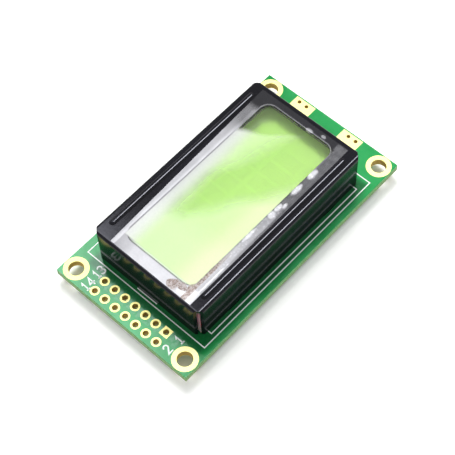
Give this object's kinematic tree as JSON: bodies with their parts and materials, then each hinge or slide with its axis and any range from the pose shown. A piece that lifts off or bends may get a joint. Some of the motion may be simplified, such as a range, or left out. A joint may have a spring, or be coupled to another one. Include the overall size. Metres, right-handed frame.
{
  "type": "character lcd module",
  "caption": "Flat character display module: drilled green board with a folded black steel bezel clamping a yellow-green glass cell over a light box.",
  "frame": {"origin": "under the middle of the board, in the plane of the ends of the bezel's twisted tabs, which the module rests on", "axes": "+Z out of the side that is read, +X along the long side away from the header end, +Y to the left-hand long side when looking along +X from above"},
  "size_m": [0.058, 0.032, 0.0126],
  "materials": {
    "plating": "pale gold flash plating",
    "laminate": "woven glass and resin, sawn edge",
    "solder_mask": "glossy green lacquer",
    "legend": "printed white ink",
    "black_steel": "glossy black paint on folded sheet steel",
    "film": "clear film with haze and air bubbles",
    "black_foam": "dense black foam",
    "polariser": "anti-glare polarising sheet",
    "cell_glass": "clear float glass",
    "seal": "cured epoxy",
    "rear_film": "yellow-green transflective film",
    "pink_silicone": "pink silicone rubber",
    "core_silicone": "layered conducting silicone",
    "white_film": "white diffusing film",
    "milky_acrylic": "milky acrylic",
    "white_abs": "white moulded plastic",
    "led_board": "white lacquered laminate",
    "led_body": "clear yellow resin",
    "tin": "tinned wire",
    "solder": "bright solder",
    "resistor_body": "black glaze on ceramic",
    "capacitor_body": "tan ceramic",
    "black_epoxy": "domed black epoxy",
    "silicon": "silicon"
  },
  "bodies": {
    "root": {"mounting_rings": "plating", "header_pads": "plating", "backlight_pads": "plating", "laminate": "laminate", "solder_mask": "solder_mask", "silkscreen": "legend", "contact_fingers": "plating", "bezel": "black_steel", "protective_film": "film", "pressure_strips": "black_foam", "front_polariser": "polariser", "front_glass": "cell_glass", "cell_seal": "seal", "fill_plug": "seal", "rear_glass": "cell_glass", "rear_polariser": "rear_film", "connector_rubber": "pink_silicone", "connector_cores": "core_silicone", "diffuser": "white_film", "light_plate": "milky_acrylic", "light_box": "white_abs", "led_board": "led_board", "led_chips": "led_body", "led_leads": "tin", "lead_solder": "solder", "chip_pads": "solder", "chip_resistors": "resistor_body", "chip_capacitors": "capacitor_body", "chip_ends": "tin", "epoxy_cap": "black_epoxy", "controller_die": "silicon"}
  },
  "joints": []
}
